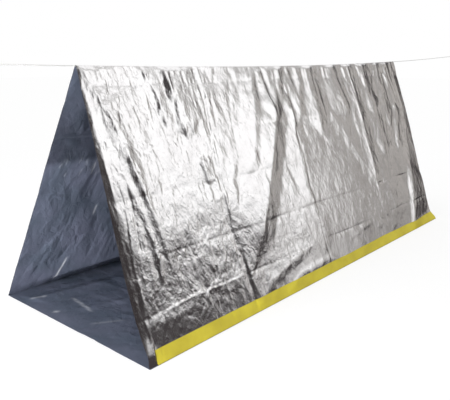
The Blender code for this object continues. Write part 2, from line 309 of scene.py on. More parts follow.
white_cord = cord_material()
cord_tree = laid_cord_tree(white_cord)
stretches = {"ridge_line": line_run(RIDGE_FRONT_Y, RIDGE_REAR_Y)}
for side, outwards, leaves_y, end_y in (("front", -1, RIDGE_FRONT_Y - SEAT_GAP, front_line_end),
                                        ("rear", 1, RIDGE_REAR_Y + SEAT_GAP, rear_line_end)):
    eye = loop_run(end_y + outwards * SEAT_GAP, outwards)
    stretches[side + "_line"] = line_run(leaves_y, end_y) + eye[:STANDING_POINTS]
    stretches[side + "_loop"] = eye[STANDING_POINTS - 1:]
cords = {}
for node, points in stretches.items():
    cords[node] = laid_cord("cord_" + node, points, cord_tree, white_cord)
    fit(cords[node], "line", node)

# Film, walls
# The tent is one tube of thin metallised film, silver outside and slate inside. It came folded in a
# small packet, so it keeps a grid of sharp packing creases and a crumple all over, and it hangs over the
# line in folds that run down and along its two walls.
SKIRT_DEPTH = 0.030
REAR_NARROWING = 0.030
CROWN_RADIUS = LINE_DIAMETER / 2 + LINE_GAP + FILM / 2
SHELL = 0.0008

floor_low, floor_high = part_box("floor_sheet")
FRONT_Y, REAR_Y = floor_low.y, floor_high.y
TUBE_LENGTH = REAR_Y - FRONT_Y
HALF_FLOOR = -floor_low.x


def half_width(y):
    """Half the floor's width at y. The rear end is drawn in a little."""
    return HALF_FLOOR - REAR_NARROWING / 2 * (y - FRONT_Y) / TUBE_LENGTH


def smooth(value):
    """Smooth step from 0 to 1."""
    value = np.clip(value, 0.0, 1.0)
    return value * value * (3 - 2 * value)


def rise(value, start, width):
    """Goes smoothly from 0 to 1 over a width that begins at the start."""
    return smooth((value - start) / width)


def fall(value, end, width):
    """Goes smoothly from 1 to 0 over a width that stops at the end."""
    return smooth((end - value) / width)


def side_line(side, y):
    """A wall's slope from the vertical at y, and the x and z where it leaves the crown."""
    middle_z = line_z(y)
    across = np.abs(side * (half_width(y) - FILM) - RIDGE_X)
    down = middle_z - 2 * FILM
    slope = np.arccos(CROWN_RADIUS / np.hypot(across, down)) - np.arctan2(down, across)
    return slope, RIDGE_X + side * CROWN_RADIUS * np.cos(slope), middle_z + CROWN_RADIUS * np.sin(slope)


def ridge_y(along):
    """Where the film that starts at a place along the floor meets the ridge."""
    return RIDGE_FRONT_Y + (RIDGE_REAR_Y - RIDGE_FRONT_Y) * along / TUBE_LENGTH


def hang(side, along, up, lift):
    """Places film on a wall: along from the front end, up from the floor's crease, lifted off its plane.

    The skirt under the crown hangs square to the line, and below it the front edge leans forwards.
    """
    foot_y = FRONT_Y + along
    top_y = ridge_y(along)
    slope, leave_x, leave_z = side_line(side, top_y)
    foot_x, foot_z = side * (half_width(foot_y) - FILM), 2 * FILM
    slant = np.hypot(leave_x - foot_x, leave_z - foot_z)
    share = up / slant
    y = foot_y + (top_y - foot_y) * np.clip(up / (slant - SKIRT_DEPTH), 0.0, 1.0)
    x = foot_x + (leave_x - foot_x) * share + side * np.cos(slope) * lift
    z = foot_z + (leave_z - foot_z) * share + np.sin(slope) * lift
    return np.stack([x, y, z], axis=-1)


def wall_slant(side, along):
    """The film's length from the floor's crease to the crown."""
    _, leave_x, leave_z = side_line(side, ridge_y(along))
    return np.hypot(leave_x - side * (half_width(FRONT_Y + along) - FILM), leave_z - 2 * FILM)


def beside(path, along, up):
    """Signed distance to the right of a path, and the share of the path that has been walked."""
    lengths = [math.dist(p, q) for p, q in zip(path, path[1:])]
    nearest = np.full(along.shape, np.inf)
    signed, walked_share = np.zeros(along.shape), np.zeros(along.shape)
    walked = 0.0
    for (pa, pb), (qa, qb), length in zip(path, path[1:], lengths):
        share = np.clip(((along - pa) * (qa - pa) + (up - pb) * (qb - pb)) / length**2, 0.0, 1.0)
        off_a, off_b = along - pa - share * (qa - pa), up - pb - share * (qb - pb)
        off = np.hypot(off_a, off_b)
        side = np.sign(off_a * (pb - qb) + off_b * (qa - pa))
        near = off < nearest
        nearest = np.where(near, off, nearest)
        signed = np.where(near, off * side, signed)
        walked_share = np.where(near, (walked + share * length) / sum(lengths), walked_share)
        walked += length
    return signed, walked_share


# A fold's height starts at a share, is full a little way on, and fades over its last part
FOLD_STARTS_AT = 0.35
FOLD_RISES_OVER = 0.15
FOLD_FADES_OVER = 0.25
PLEAT_SKEW = (0.25, 0.75)


def fold(along, up, path, front, rear, height):
    """A fold with its crest on the path: it rises over the front width and drops over the rear width.

    It is narrower and lower towards its ends, and runs out to a point.
    """
    off, share = beside(path, along, up)
    size = smooth(share / FOLD_RISES_OVER + FOLD_STARTS_AT) * smooth((1 - share) / FOLD_FADES_OVER)
    return height * np.maximum(np.where(off < 0, size + off / front, size - off / rear), 0.0)


def crease(distance, reach, depth):
    """A sharp line pressed in by packing, with flanks that flatten out over the reach."""
    return -depth * np.exp(-np.abs(distance) / reach)


def metres(value):
    """A table of millimetres in metres."""
    return tuple(metres(each) for each in value) if isinstance(value, tuple) else round(value / 1000, 6)


def pleats(along, up, seed, count, low, high, lean, length, half, depth, turned=0.0):
    """Short straight pleats scattered over a part of the film, upright unless turned."""
    low, high, length, half, depth = metres((low, high, length, half, depth))
    draw = random.Random(seed)
    total = np.zeros(along.shape)
    for _ in range(count):
        middle_a, middle_b = (draw.uniform(*ends) for ends in zip(low, high))
        turn = draw.gauss(turned, lean)
        reach, width = draw.uniform(*length) / 2, draw.uniform(*half)
        tall = draw.uniform(*depth) * draw.choice((-1, 1))
        skew = draw.uniform(*PLEAT_SKEW)
        off_a, off_b = along - middle_a, up - middle_b
        across = off_a * math.cos(turn) + off_b * math.sin(turn)
        down = -off_a * math.sin(turn) + off_b * math.cos(turn)
        profile = 1 - np.abs(across) / (width * 2 * np.where(across < 0, skew, 1 - skew))
        total += tall * np.maximum(profile, 0.0) * np.maximum(1 - (down / reach) ** 2, 0.0)
    return total


# How far a net's corners are shifted, as a share of its spacing, and where rays start above the net
CORNER_SHIFT = 0.45
RAY_FROM = 1.0
WIDEST_PANEL = 1.0
CRUMPLE_MARGIN = 0.3
CRUMPLE_LENGTH = 2 * (TUBE_LENGTH + CRUMPLE_MARGIN)
CRUMPLE_WIDTH = 2 * (WIDEST_PANEL + CRUMPLE_MARGIN)
# Each net's spacing along and up the film, and its depth
CRUMPLE_NETS = ((0.150, 0.190, 0.0050), (0.060, 0.085, 0.0026), (0.026, 0.040, 0.0015),
                (0.012, 0.018, 0.0008))


def vector(tree, x, y, z):
    """A vector of three numbers or other nodes' outputs."""
    return add(tree, "ShaderNodeCombineXYZ", {"X": x, "Y": y, "Z": z})


def crumple_tree():
    """Crumples a flat film: a coarse net of triangles with random corners lends it its height."""
    tree, given = new_tree("crumple", "Film", ("Length", "Width", "Spacing Along", "Spacing Up", "Depth"),
                           ("Seed",))
    net = add(tree, "GeometryNodeMeshGrid", {
        "Size X": given["Length"], "Size Y": given["Width"],
        "Vertices X": maths(tree, "DIVIDE", given["Length"], given["Spacing Along"]),
        "Vertices Y": maths(tree, "DIVIDE", given["Width"], given["Spacing Up"])})
    most = (maths(tree, "MULTIPLY", given["Spacing Along"], CORNER_SHIFT),
            maths(tree, "MULTIPLY", given["Spacing Up"], CORNER_SHIFT), given["Depth"])
    least = [maths(tree, "MULTIPLY", value, -1.0) for value in most]
    scatter = add(tree, "FunctionNodeRandomValue", data_type="FLOAT_VECTOR")
    fill(tree, scatter, {"Min": vector(tree, *least), "Max": vector(tree, *most), "Seed": given["Seed"]})
    shaken = add(tree, "GeometryNodeSetPosition", {"Geometry": net, "Offset": scatter.outputs["Value"]})
    facets = add(tree, "GeometryNodeTriangulate", {"Mesh": shaken})

    flat = add(tree, "ShaderNodeSeparateXYZ", {"Vector": add(tree, "GeometryNodeInputPosition")}).outputs
    ray = add(tree, "GeometryNodeRaycast", {
        "Target Geometry": facets, "Source Position": vector(tree, flat["X"], flat["Y"], RAY_FROM),
        "Ray Direction": (0.0, 0.0, -1.0), "Ray Length": 2 * RAY_FROM})
    hit = add(tree, "ShaderNodeSeparateXYZ", {"Vector": ray.outputs["Hit Position"]})
    share = add(tree, "GeometryNodeInputNamedAttribute", {"Name": "crumple"}, data_type="FLOAT")
    height = maths(tree, "MULTIPLY", hit.outputs["Z"], share.outputs["Attribute"])
    lifted = add(tree, "GeometryNodeSetPosition", {
        "Geometry": given["Film"], "Selection": ray.outputs["Is Hit"],
        "Offset": vector(tree, 0.0, 0.0, height)})
    add(tree, "NodeGroupOutput", {"Made": lifted})
    return tree


crumple_nodes = crumple_tree()


def grid_mesh(name, points):
    """A surface through a grid of points, in rows and columns."""
    at = np.arange(points.shape[0] * points.shape[1]).reshape(points.shape[:2])
    faces = np.stack([at[:-1, :-1], at[1:, :-1], at[1:, 1:], at[:-1, 1:]], axis=-1)
    mesh = bpy.data.meshes.new(name)
    mesh.from_pydata(points.reshape(-1, 3), [], faces.swapaxes(0, 1).reshape(-1, 4).tolist())
    return placed(name, mesh)


def mark(surface, name, values):
    """Gives each point of a grid of film its own value, for the nodes to read."""
    layer = surface.data.attributes.new(name, "FLOAT", "POINT")
    layer.data.foreach_set("value", values.astype(np.float32).ravel())


def crumpled(along, up, lift, strength, seed):
    """The film's lift after it has been crumpled, where strength is its share of the full crumple."""
    source = grid_mesh("flat_film", np.stack([along, up, lift], axis=-1))
    mark(source, "crumple", strength)
    for number, (step_along, step_up, depth) in enumerate(CRUMPLE_NETS):
        layer = source.modifiers.new(f"crumple {number}", "NODES")
        layer.node_group = crumple_nodes
        set_inputs(layer, length=CRUMPLE_LENGTH, width=CRUMPLE_WIDTH, spacing_along=step_along,
                   spacing_up=step_up, depth=depth, seed=seed + number)
    done = as_mesh(source, "flat_film")
    co = np.empty(len(done.data.vertices) * 3)
    done.data.vertices.foreach_get("co", co)
    bpy.data.objects.remove(done)
    return co[2::3].reshape(along.shape)


HIGHLIGHT_FADES_OVER = 0.2
RIM_ANGLE = math.radians(60)


def paint_highlights(surface, marks, along, up):
    """Paints highlights on the film's creases as pale streaks. Each mark is a path, half its width and how
    pale it is.
    """
    share = np.zeros(along.shape)
    for path, half, most in marks:
        off, walked = beside(path, along, up)
        ends = np.clip(np.minimum(walked, 1 - walked) / HIGHLIGHT_FADES_OVER, 0.0, 1.0)
        share = np.maximum(share, most * np.exp(-(off / half) ** 2) * ends)
    mark(surface, "painted_highlight", share)


def film_piece(name, points, outward, finishes, thickness, marks=None):
    """A piece of film through a grid of points: thickness inwards, and its inner face in the last finish."""
    made = grid_mesh(name + "_surface", points)
    # Painted highlights on creases, where marks are given
    if marks:
        paint_highlights(made, *marks)
    total = sum((face.normal * face.area for face in made.data.polygons), Vector())
    if total.dot(Vector(outward)) < 0:
        made.data.flip_normals()
    for finish in finishes:
        made.data.materials.append(finish)
    shell = made.modifiers.new("film thickness", "SOLIDIFY")
    shell.thickness = thickness
    shell.offset = -1.0
    shell.material_offset = len(finishes) - 1
    made = as_mesh(made, name)
    made.data.shade_smooth()
    made.data.set_sharp_from_angle(angle=RIM_ANGLE)
    return made


# How sharp the crinkle is: an axis, two places on it and its share at each. It is slacker behind and
# high up, and soft at the front edge and near the floor
CRINKLE = (
    ("Y", -0.80, -0.05, 1.0, 0.50),
    ("Z", 0.20, 0.50, 1.0, 0.64),
    ("Y", -1.20, -1.08, 0.45, 1.0),
    ("Z", 0.08, 0.16, 0.45, 1.0),
)
# Between which heights the coat inside is darkened by painted shade, and its share of the colour there
PAINTED_SHADE_BAND = (("Z", 0.575, 0.605, 0.0, 1.0), ("Z", 0.70, 0.90, 1.0, 0.0))
PAINTED_SHADE_SHARE = 0.50
# Colour of the painted highlights on the film's creases
PAINTED_HIGHLIGHT = (0.78, 0.80, 0.84)
# Between which values most of a noise lies
NOISE_MIDDLE = (0.35, 0.65)
# Scale and detail of the changes in tone, of the wear, and of what bends the facets' edges
TONE_NOISE = (7.0, 3.0)
WEAR_NOISE = (28.0, 5.0)
BEND_NOISE = (14.0, 2.0)
FACET_BEND = 0.03
FACET_DRAWN_OUT = 0.6
SLATE_FACETS = ((12.0, 0.16), (34.0, 0.16), (100.0, 0.09))


def fade(tree, value, start, end, low=0.0, high=1.0, how="SMOOTHSTEP"):
    """Goes from low to high as a value goes from the start to the end."""
    inputs = dict(enumerate((value, start, end, low, high)))
    return add(tree, "ShaderNodeMapRange", inputs, interpolation_type=how)


def evened(tree, pattern, low=0.0, high=1.0):
    """A noise's middle values spread out from low to high."""
    return fade(tree, pattern, *NOISE_MIDDLE, low, high, "LINEAR")


def faded_over(tree, place, steps):
    """The product of fades over places on the axes."""
    at = add(tree, "ShaderNodeSeparateXYZ", {"Vector": place}).outputs
    share = 1.0
    for axis, *ends in steps:
        share = maths(tree, "MULTIPLY", share, fade(tree, at[axis], *ends))
    return share


def film_material(name, colour, second_colour, roughness, metallic, wear, facets, painted_shade_share=1.0):
    """Film: a crinkle of small flat facets in the gloss, dull worn spots, soft changes between two tones,
    painted highlights on marked creases and, where asked, a band of painted shade.

    Each layer of facets is a cell pattern, drawn out down the film, whose cells stand out or sink in by
    chance. It is given as cells per metre and the steepest slope.
    """
    made, tree, shader = principled(name, colour, roughness, metallic)
    place = add(tree, "ShaderNodeTexCoord").outputs["Object"]
    tone = blend(tree, evened(tree, noise(tree, place, *TONE_NOISE)), second_colour, colour)
    # Painted highlights: marked points are mixed towards a pale colour
    tone = blend(tree, add(tree, "ShaderNodeAttribute", attribute_name="painted_highlight").outputs["Fac"], tone, PAINTED_HIGHLIGHT)
    # Painted shade: where asked, a band high up the film is multiplied darker
    tone = blend(tree, faded_over(tree, place, PAINTED_SHADE_BAND), tone, (painted_shade_share,) * 3, "MULTIPLY")
    dull = evened(tree, noise(tree, place, *WEAR_NOISE), roughness - wear, roughness + wear)

    bent = add(tree, "ShaderNodeVectorMath", {
        0: noise(tree, place, *BEND_NOISE).outputs["Color"], 1: (FACET_BEND,) * 3, 2: place},
        operation="MULTIPLY_ADD")
    drawn = add(tree, "ShaderNodeMapping", {"Vector": bent, "Scale": (1.0, 1.0, FACET_DRAWN_OUT)})
    sharpness = faded_over(tree, place, CRINKLE)
    normal = None
    for cells, slope in facets:
        inputs = {"Vector": drawn, "Scale": cells}
        edges = add(tree, "ShaderNodeTexVoronoi", inputs, feature="DISTANCE_TO_EDGE")
        chance = add(tree, "ShaderNodeTexVoronoi", inputs)
        lift = add(tree, "ShaderNodeSeparateColor", {"Color": chance.outputs["Color"]})
        height = maths(tree, "MULTIPLY", edges.outputs["Distance"],
                       maths(tree, "SUBTRACT", lift.outputs["Red"], 0.5))
        normal = raised(tree, height, sharpness, 2 * slope / cells, normal)
    fill(tree, shader, {"Base Color": tone, "Roughness": dull, "Normal": normal})
    return made


silver = film_material("silver_film", (0.955, 0.945, 0.950), (0.915, 0.900, 0.905), roughness=0.23,
                       metallic=1.0, wear=0.04,
                       facets=((22.0, 0.10), (55.0, 0.17), (130.0, 0.17), (300.0, 0.07)))
slate = film_material("slate_film", (0.134, 0.146, 0.202), (0.100, 0.119, 0.160), roughness=0.40,
                      metallic=0.0, wear=0.08, facets=SLATE_FACETS, painted_shade_share=PAINTED_SHADE_SHARE)

PACKING_COLUMNS = (0.56, 1.14, 1.785)
# How deep each column's wide and narrow creases go in
COLUMN_DEPTHS = ((1.0, 1.0), (-1.0, 1.0), (-0.4, -0.2))
PACKING_ROWS = (0.158, 0.33, 0.54, 0.74, 0.94)
# Each row's crease at the front and from the first column on: pressed in where positive
PACKING_DEPTHS = ((0.0, 1.1), (0.5, 1.1), (0.2, 0.5), (0.8, 1.0), (0.4, 0.4))
PACKING_BULGES = (-1, 0, 1, -1, 1)
# How far each row's crease reaches above it and below it
PACKING_REACHES = ((0.008, 0.008), (0.005, 0.018), (0.006, 0.020), (0.005, 0.018), (0.006, 0.012))
# The wandering of the creases up a column and along a row: waves as height, pace and shift
COLUMN_WAVES = ((0.004, 9.0, 1.0), (0.003, 31.0, 0.0), (0.0015, 83.0, 0.0))
ROW_WAVES = ((0.002, 7.0, 0.0), (0.001, 23.0, 0.0))
# Reach and depth of a column's wide and narrow creases and of a row's bulge, and a row's crease's depth
WIDE_CREASE = (0.040, 0.0025)
NARROW_CREASE = (0.0065, 0.0020)
ROW_BULGE = (0.030, 0.0016)
ROW_DEPTH = 0.0030
ROW_CHANGE = 0.03
ROW_SHIFT = 4.0
# A crease comes and goes round a middle share, in waves as height, pace and turns of the shift
UNEVEN_MIDDLE = 0.55
UNEVEN_WAVES = ((0.25, 7.3, 1), (0.20, 19.7, 2))


def waver(place, waves):
    """How far a line wanders at a place along it."""
    return sum(height * np.sin(pace * place + shift) for height, pace, shift in waves)


def uneven(place, shift):
    """A share between 0 and 1 that comes and goes along a crease."""
    share = UNEVEN_MIDDLE
    for height, pace, turns in UNEVEN_WAVES:
        share = share + height * np.sin(pace * place + turns * shift)
    return share


def packing_creases(along, up):
    """The packet's grid of creases, in turn pressed in and standing out, and each panel's slight bulge."""
    total = np.zeros(along.shape)
    off = along - waver(up, COLUMN_WAVES)
    for column, (wide, narrow) in zip(PACKING_COLUMNS, COLUMN_DEPTHS):
        total += wide * crease(off - column, *WIDE_CREASE) + narrow * crease(off - column, *NARROW_CREASE)
    first = PACKING_COLUMNS[0]
    for number, row in enumerate(PACKING_ROWS):
        off = up - row - waver(along, ROW_WAVES)
        total += PACKING_BULGES[number] * crease(off, *ROW_BULGE)
        reach = np.where(off > 0, *PACKING_REACHES[number])
        depth = np.interp(along, (first - ROW_CHANGE, first + ROW_CHANGE), PACKING_DEPTHS[number])
        total += depth * uneven(along, number + ROW_SHIFT) * crease(off, reach, ROW_DEPTH)
    return total


# Right wall folds in millimetres: points of the crest as (along, up), the two widths and the height
RIGHT_FOLDS = metres((
    (((10, 1040), (40, 945), (66, 870)), 26, 60, 4.8),
    (((60, 890), (86, 820), (130, 640)), 36, 120, 7.4),
    (((120, 690), (138, 605), (165, 460), (190, 270)), 22, 120, 6.4),
    (((-150, 140), (46, 144), (270, 162), (430, 155), (590, 158)), 80, 6, 1),
    (((-150, 145), (46, 149), (270, 167), (430, 160), (590, 163)), 6, 120, -1.2),
    (((-20, 128), (220, 132)), 50, 6, 0.9),
    (((-20, 34), (42, 30)), 30, 60, 8),
    (((92, 600), (125, 460), (142, 330), (135, 200)), 18, 30, 4.2),
    (((275, 990), (318, 905), (334, 800), (342, 730)), 12, 50, 3.6),
    (((372, 1060), (386, 960), (402, 870), (430, 700)), 30, 240, 10),
    (((392, 960), (412, 880), (430, 820), (470, 730)), 14, 110, 4),
    (((470, 640), (482, 520)), 18, 50, 6),
    (((590, 930), (568, 720), (552, 560)), 12, 90, 3),
    (((556, 700), (548, 450), (556, 300), (574, 190), (582, -60)), 12, 100, 5),
    (((1155, 1060), (1112, 951), (1060, 850), (985, 715)), 120, 46, 6.2),
    (((1045, 850), (985, 740), (930, 640), (836, 489), (742, 351), (618, 189), (575, 130)), 220, 96, 14),
    (((1000, 780), (945, 680), (836, 489), (742, 351), (618, 189)), 160, 92, 5.6),
    (((935, 980), (846, 766), (769, 589), (670, 500)), 100, 40, 6.2),
    (((700, 650), (612, 530), (598, 330)), 60, 24, 3),
    (((980, 1000), (1000, 743)), 60, 20, 5.2),
    (((1157, 900), (1146, 748), (1128, 660), (1142, 550), (1128, 430), (1142, 300), (1130, 180)),
     100, 14, 3.8),
    (((1335, 1060), (1275, 900), (1180, 700)), 50, 34, 3.8),
    (((1146, 800), (1152, 690)), 24, 13, 5),
    (((1398, 1060), (1384, 900), (1360, 620)), 90, 80, 8.6),
    (((1605, 1060), (1620, 900), (1680, 700)), 130, 80, 8.2),
    (((1500, 760), (1590, 620), (1730, 410)), 45, 70, 3.4),
    (((1792, 1060), (1795, 700), (1780, 260)), 90, 75, 7.8),
    (((1945, 1060), (1955, 700)), 95, 95, 8),
    (((2000, 830), (1962, 440)), 85, 110, 7),
    (((2130, 1060), (2125, 600)), 75, 75, 6.4),
    (((2250, 1060), (2240, 700)), 50, 120, 5.2),
    (((2190, 740), (2060, 530)), 28, 30, 2),
    (((2260, 760), (2140, 450)), 36, 70, 6),
    (((2250, 390), (2175, 220), (2080, 0), (2040, -100)), 45, 300, 8.5),
    (((590, 20), (700, 90), (920, 140), (1060, 160)), 34, 50, 4.2),
    (((780, 10), (900, 60), (1150, 70), (1280, 20)), 30, 20, 3.5),
))
# Pleats scattered over the right wall in millimetres: where they show, a seed, how many, the corners of
# their patch, how much they lean, then ranges of length, half the width and height
RIGHT_PLEATS = (
    ("all", 3, 170, (20, 100), (600, 1000), 0.25, (50, 220), (5, 13), (0.4, 1.7)),
    ("all", 5, 80, (20, 20), (600, 420), 0.9, (30, 120), (4, 10), (0.6, 2.2)),
    ("uncalm", 7, 80, (600, 100), (2360, 1000), 0.3, (80, 350), (10, 26), (0.5, 1.8)),
    ("all", 31, 22, (640, 30), (2100, 150), 1.3, (100, 340), (10, 22), (0.5, 1.2)),
    ("all", 29, 26, (4, 80), (85, 620), 0.1, (100, 340), (4, 9), (0.6, 1.6)),
    ("gathered", 11, 90, (200, 840), (2360, 1030), 0.22, (100, 400), (10, 26), (1, 3)),
)
# The calm panel's edges as a place and a width, and what its pleats and its crumple lose
CALM_FROM = (1.13, 0.08)
CALM_TO = (1.80, 0.25)
CALM_UP_TO = (0.50, 0.20)
CALM_PLEATS = 0.75
CALM_CRUMPLE = 0.45
# How far below the line the film is gathered, and where folds fade at the foot and at the crown
GATHER = 0.35
FOOT_FADE = 0.035
CROWN_FADE = 0.014
FOLDS_AT_FOOT = 0.15
CRUMPLE_AT_FOOT = 0.1
# The rear corner's film is bent back behind this line
REAR_BEND = metres(((2385, 1020), (2350, 800), (2320, 600), (2240, 370), (2175, 220), (2080, 0)))
REAR_BEND_SLOPE = 0.10
REAR_BEND_DEPTH = 0.024
BEND_FROM_FOOT = 0.06
BEND_FROM_LINE = 0.10
# How far the front edge's film is bent back, at heights up the wall
CURL_HEIGHTS = (0.00, 0.05, 0.14, 0.30, 0.56, 0.94)
CURL_WIDTHS = (0.000, 0.010, 0.060, 0.080, 0.046, 0.010)
CURL_LEAST = 0.004
CURL_SLOPE = 0.21
# The crumple's share at the front edge, what it gains behind that and over the front part, and what the
# low corner in front loses. Places are given with the width over which the share changes
LEAST_CRUMPLE = 0.20
EDGE_GAIN = 0.25
EDGE_WIDTH = 0.11
FRONT_GAIN = 0.22
FRONT_GAIN_LOW = 0.07
FRONT_TO = (0.40, 0.60)
LOW_TO = (0.20, 0.30)
CORNER_LOSS = 0.75
CORNER_TO = (0.42, 0.16)
CORNER_UP_TO = (0.150, 0.03)


def calm(along, up):
    """The panel behind the second packing column, where the film hangs almost smooth: 1 in its middle."""
    return rise(along, *CALM_FROM) * fall(along, *CALM_TO) * (1 - rise(up, *CALM_UP_TO))


def held(side, along, up, at_foot):
    """Folds fade where the film is held: a share is left at its foot, and nothing under the line."""
    return smooth(up / FOOT_FADE + at_foot) * fall(up, wall_slant(side, along), CROWN_FADE)


def folded(side, along, up, folds, scattered):
    """How far a wall's film stands off its plane, from its creases, its folds and its scattered pleats."""
    total = packing_creases(along, up)
    for each in folds:
        total += fold(along, up, *each)
    shares = {"all": 1.0, "uncalm": 1 - CALM_PLEATS * calm(along, up),
              "gathered": 1 - fall(up, wall_slant(side, along), GATHER)}
    for share, *field in scattered:
        total += shares[share] * pleats(along, up, *field)
    return total * held(side, along, up, FOLDS_AT_FOOT)


def right_heights(along, up):
    """How far the right wall's film stands off its plane, before it is crumpled."""
    curl = np.interp(up, CURL_HEIGHTS, CURL_WIDTHS)
    curled = CURL_SLOPE * np.maximum(curl - along, 0.0) ** 2 / np.maximum(curl, CURL_LEAST)
    behind, _ = beside(REAR_BEND, along, up)
    bend = np.minimum(REAR_BEND_SLOPE * np.maximum(behind, 0.0), REAR_BEND_DEPTH)
    bend = bend * rise(up, 0.0, BEND_FROM_FOOT) * fall(up, wall_slant(1, along), BEND_FROM_LINE)
    return folded(1, along, up, RIGHT_FOLDS, RIGHT_PLEATS) - curled - bend


def right_strength(along, up):
    """How much of the crumple the right wall takes: most in front and high up, least at the rear."""
    edge = rise(along, 0.0, EDGE_WIDTH)
    gain = FRONT_GAIN - FRONT_GAIN_LOW * (1 - rise(up, *LOW_TO))
    share = LEAST_CRUMPLE + EDGE_GAIN * edge + gain * (1 - rise(along, *FRONT_TO)) * edge
    share *= (1 - CALM_CRUMPLE * calm(along, up)
              - CORNER_LOSS * fall(along, *CORNER_TO) * fall(up, *CORNER_UP_TO))
    return share * held(1, along, up, CRUMPLE_AT_FOOT)


def spaced(length, step_at):
    """Places along a film, as far apart as the step at each place."""
    places = [0.0]
    while places[-1] < length:
        places.append(places[-1] + float(step_at(places[-1])))
    return np.array(places) * (length / places[-1])


FRONT_STEP = 0.0042
REAR_STEP = 0.0095
UP_STEP = 0.0090
# Where the steps grow from the front one to the rear one: a place and a width
STEP_GROWS = (0.45, 0.50)
FOOT_TURN = 0.105
CREASE_SHARE = 0.45
CREASE_REACH = 0.028


def near_crease(place, creases):
    """A smaller share of the step close to a packing crease, which needs more points."""
    away = min(abs(place - line) for line in creases)
    return CREASE_SHARE + (1 - CREASE_SHARE) * smooth(away / CREASE_REACH)


def step_along(along):
    """The film's step from one column of points to the next: finest at the front."""
    step = FRONT_STEP + (REAR_STEP - FRONT_STEP) * rise(along, *STEP_GROWS)
    return max(step * near_crease(along, PACKING_COLUMNS), FRONT_STEP)


def step_up(up):
    """The step from one row of points to the next."""
    return UP_STEP * near_crease(up, (FOOT_TURN, *PACKING_ROWS))


columns = spaced(TUBE_LENGTH, step_along)
slant_here = float(wall_slant(1, 0.0)) - SKIRT_DEPTH
row_shares = spaced(slant_here, step_up) / slant_here
WALL_ROWS = len(row_shares)
SKIRT_ROWS = 4


def hang_wall(name, node, side, heights, strength, seed, marks=()):
    """Hangs a wall and gives its film as a grid of points.

    The film's last rows are the skirt under the crown, which isn't part of the wall.
    """
    slant = wall_slant(side, columns)[:, None]
    below = row_shares * (slant - SKIRT_DEPTH)
    skirt = slant - SKIRT_DEPTH + SKIRT_DEPTH * np.linspace(0.0, 1.0, SKIRT_ROWS + 1)[1:]
    up = np.concatenate([below, skirt], axis=1)
    along = np.broadcast_to(columns[:, None], up.shape)
    film = hang(side, along, up, crumpled(along, up, heights(along, up), strength(along, up), seed))
    wall = film_piece(name, film[:, :WALL_ROWS], (side, 0, 0), (silver, slate), SHELL,
                      (marks, along[:, :WALL_ROWS], below))
    fit(wall, "film_tube", node)
    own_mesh(wall)
    return film


RIGHT_SEED = 20
right_film = hang_wall("film_right_wall", "right_wall", 1, right_heights, right_strength, RIGHT_SEED)

# Left wall folds, as on the right
LEFT_FOLDS = metres((
    (((200, 1000), (280, 620), (250, 250)), 80, 90, 5),
    (((620, 1000), (760, 620), (980, 280)), 120, 100, 6),
    (((980, 1000), (960, 560), (800, 200)), 60, 110, 7),
    (((1340, 1000), (1280, 580), (1340, 200)), 100, 70, 12),
    (((1720, 1000), (1860, 600), (1900, 250)), 70, 100, 12),
    (((2160, 1000), (2060, 580), (2100, 220)), 80, 80, 12),
))
LEFT_PLEATS = (
    ("all", 13, 90, (0, 50), (2400, 1000), 0.35, (80, 350), (10, 26), (0.6, 2)),
    ("all", 23, 64, (20, 660), (600, 830), 0.12, (40, 150), (5, 10), (1.5, 3.4), math.pi / 2),
    ("gathered", 17, 70, (100, 860), (2380, 1020), 0.25, (100, 400), (8, 22), (2, 5)),
)
LEFT_CRUMPLE = 0.4
# The wall sags in over its bottom crease and turns sharply back out to it
TUCK_DEPTH = 0.062
TUCK_TO = 0.40
TUCK_END = 0.50
TUCK_LEAST = 0.30
# Painted highlights on creases: a path as (along, up), half the width and how pale
LEFT_HIGHLIGHTS = (
    (((0.190, 0.030), (0.228, 0.165)), 0.0034, 0.78),
    (((0.304, 0.365), (0.312, 0.420)), 0.0034, 0.55),
    (((0.222, 0.590), (0.228, 0.660)), 0.0032, 0.45),
)
# Fine painted highlights in short upright streaks: how many, the corners of their patch, half their width,
# how they lean, how tall and how pale they are
HIGHLIGHT_STREAK_COUNT = 26
STREAK_SEED = 41
STREAK_LOW = (0.050, 0.575)
STREAK_HIGH = (0.340, 0.665)
STREAK_HALF = 0.0022
STREAK_LEAN = (0.004, 0.004)
STREAK_RISE = (0.015, 0.055)
STREAK_SHARE = (0.08, 0.32)


def highlight_streaks(seed):
    """Fine upright streaks of painted highlight scattered along the crease above the wall's middle."""
    draw = random.Random(seed)
    marks = []
    for _ in range(HIGHLIGHT_STREAK_COUNT):
        foot_a, foot_b = (draw.uniform(*ends) for ends in zip(STREAK_LOW, STREAK_HIGH))
        top = (foot_a + draw.gauss(*STREAK_LEAN), foot_b + draw.uniform(*STREAK_RISE))
        marks.append((((foot_a, foot_b), top), STREAK_HALF, draw.uniform(*STREAK_SHARE)))
    return marks


def left_heights(along, up):
    """How far the left wall's film stands off its plane, before it is crumpled."""
    ends = rise(along, 0.0, TUCK_END) * fall(along, TUBE_LENGTH, TUCK_END)
    turn = FOOT_TURN * (TUCK_LEAST + (1 - TUCK_LEAST) * ends)
    tuck = np.where(up < turn, up / turn, np.maximum(1 - (up - turn) / (TUCK_TO - turn), 0.0))
    return folded(-1, along, up, LEFT_FOLDS, LEFT_PLEATS) - TUCK_DEPTH * tuck * ends


def left_strength(along, up):
    """How much of the crumple the left wall takes: evenly, and less than the right wall's front."""
    return LEFT_CRUMPLE * held(-1, along, up, CRUMPLE_AT_FOOT)


LEFT_SEED = 40
left_film = hang_wall("film_left_wall", "left_wall", -1, left_heights, left_strength, LEFT_SEED,
                      (*LEFT_HIGHLIGHTS, *highlight_streaks(STREAK_SEED)))

# Film, ridge
# The same film goes over the line in one tight round fold. It is cut from the walls' own points, so the
# folds run on across it, and it comes down with the line.
CROWN_STEPS = 8


